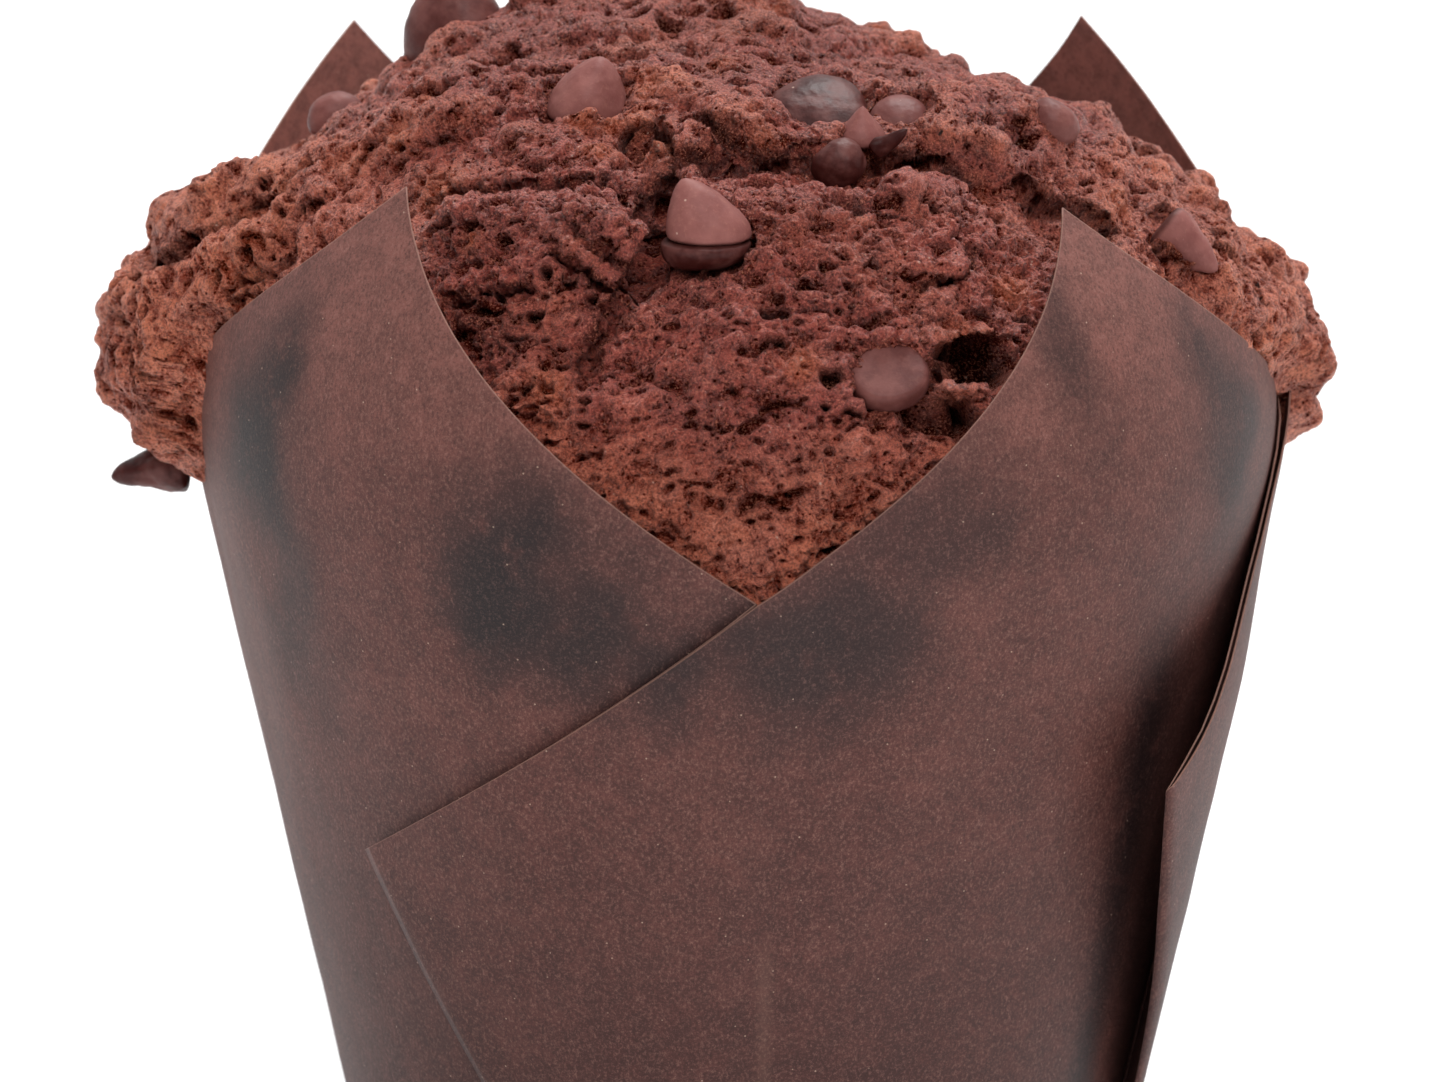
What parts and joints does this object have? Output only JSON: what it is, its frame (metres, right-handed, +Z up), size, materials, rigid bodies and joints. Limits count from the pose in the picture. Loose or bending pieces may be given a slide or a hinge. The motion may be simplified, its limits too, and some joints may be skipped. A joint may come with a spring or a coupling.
{
  "type": "chocolate chip muffin",
  "caption": "Dark chocolate muffin with a craggy domed crown and chocolate chips, baked in a folded paper tulip case with pointed petals.",
  "frame": {"origin": "middle of the flat round base of the paper case, on the surface it stands on", "axes": "+Z up; -Y towards the front, where two petals of the paper cross lowest over the crown; +X to the right of that view"},
  "size_m": [0.0846, 0.0783, 0.0901],
  "materials": {
    "case_paper": "matte",
    "crumb": "matte",
    "chocolate": "satin"
  },
  "bodies": {
    "root": {"paper_case": "case_paper", "muffin": "crumb", "chip_ridge": "chocolate", "chip_centre_upper": "chocolate", "chip_centre_lower": "chocolate", "chip_front_disc": "chocolate", "chip_shoulder": "chocolate", "chip_back_left_top": "chocolate", "chip_back_left_low": "chocolate", "chip_under_left": "chocolate", "chip_melted": "chocolate", "chip_smooth_disc": "chocolate", "chip_small_cone": "chocolate", "chip_dark_round": "chocolate", "chip_right_slab": "chocolate"}
  },
  "joints": []
}
